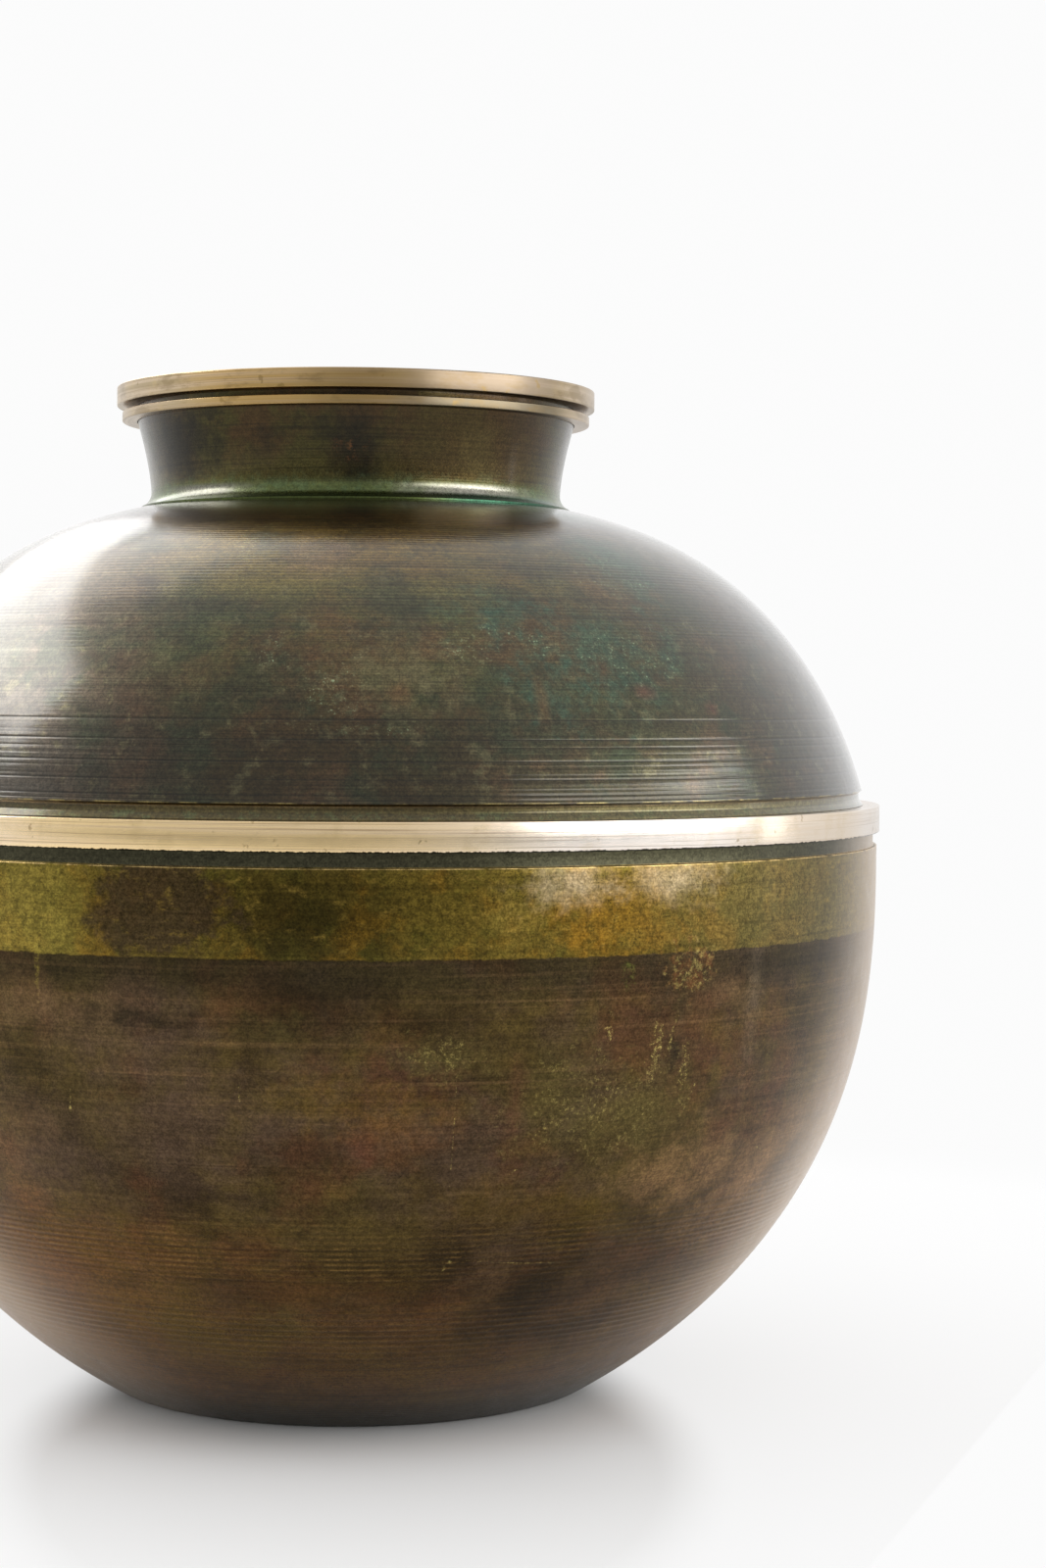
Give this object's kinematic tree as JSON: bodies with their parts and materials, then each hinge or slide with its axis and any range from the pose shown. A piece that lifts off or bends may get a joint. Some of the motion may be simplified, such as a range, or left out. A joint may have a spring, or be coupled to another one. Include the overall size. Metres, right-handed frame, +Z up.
{
  "type": "vase",
  "caption": "Round hollow spun brass vase with a short flared neck, a ringed lip and a polished band round its middle, in dark mottled patina.",
  "frame": {"origin": "middle of the foot, on the surface the vase stands on", "axes": "+Z up along the vase's axis; the vase is round, so X and Y are alike, and the picture was taken from -Y"},
  "size_m": [0.2518, 0.2518, 0.2366],
  "materials": {
    "patina_brown": "satin dark brown patina over brass",
    "patina_green": "satin grey-green patina over brass",
    "polished_brass": "polished, finely turned"
  },
  "bodies": {
    "root": {"lower_shell": "patina_brown", "upper_shell": "patina_green", "equator_band": "polished_brass", "neck_collar": "patina_green", "lower_lip_ring": "polished_brass", "upper_lip_ring": "polished_brass"}
  },
  "joints": []
}
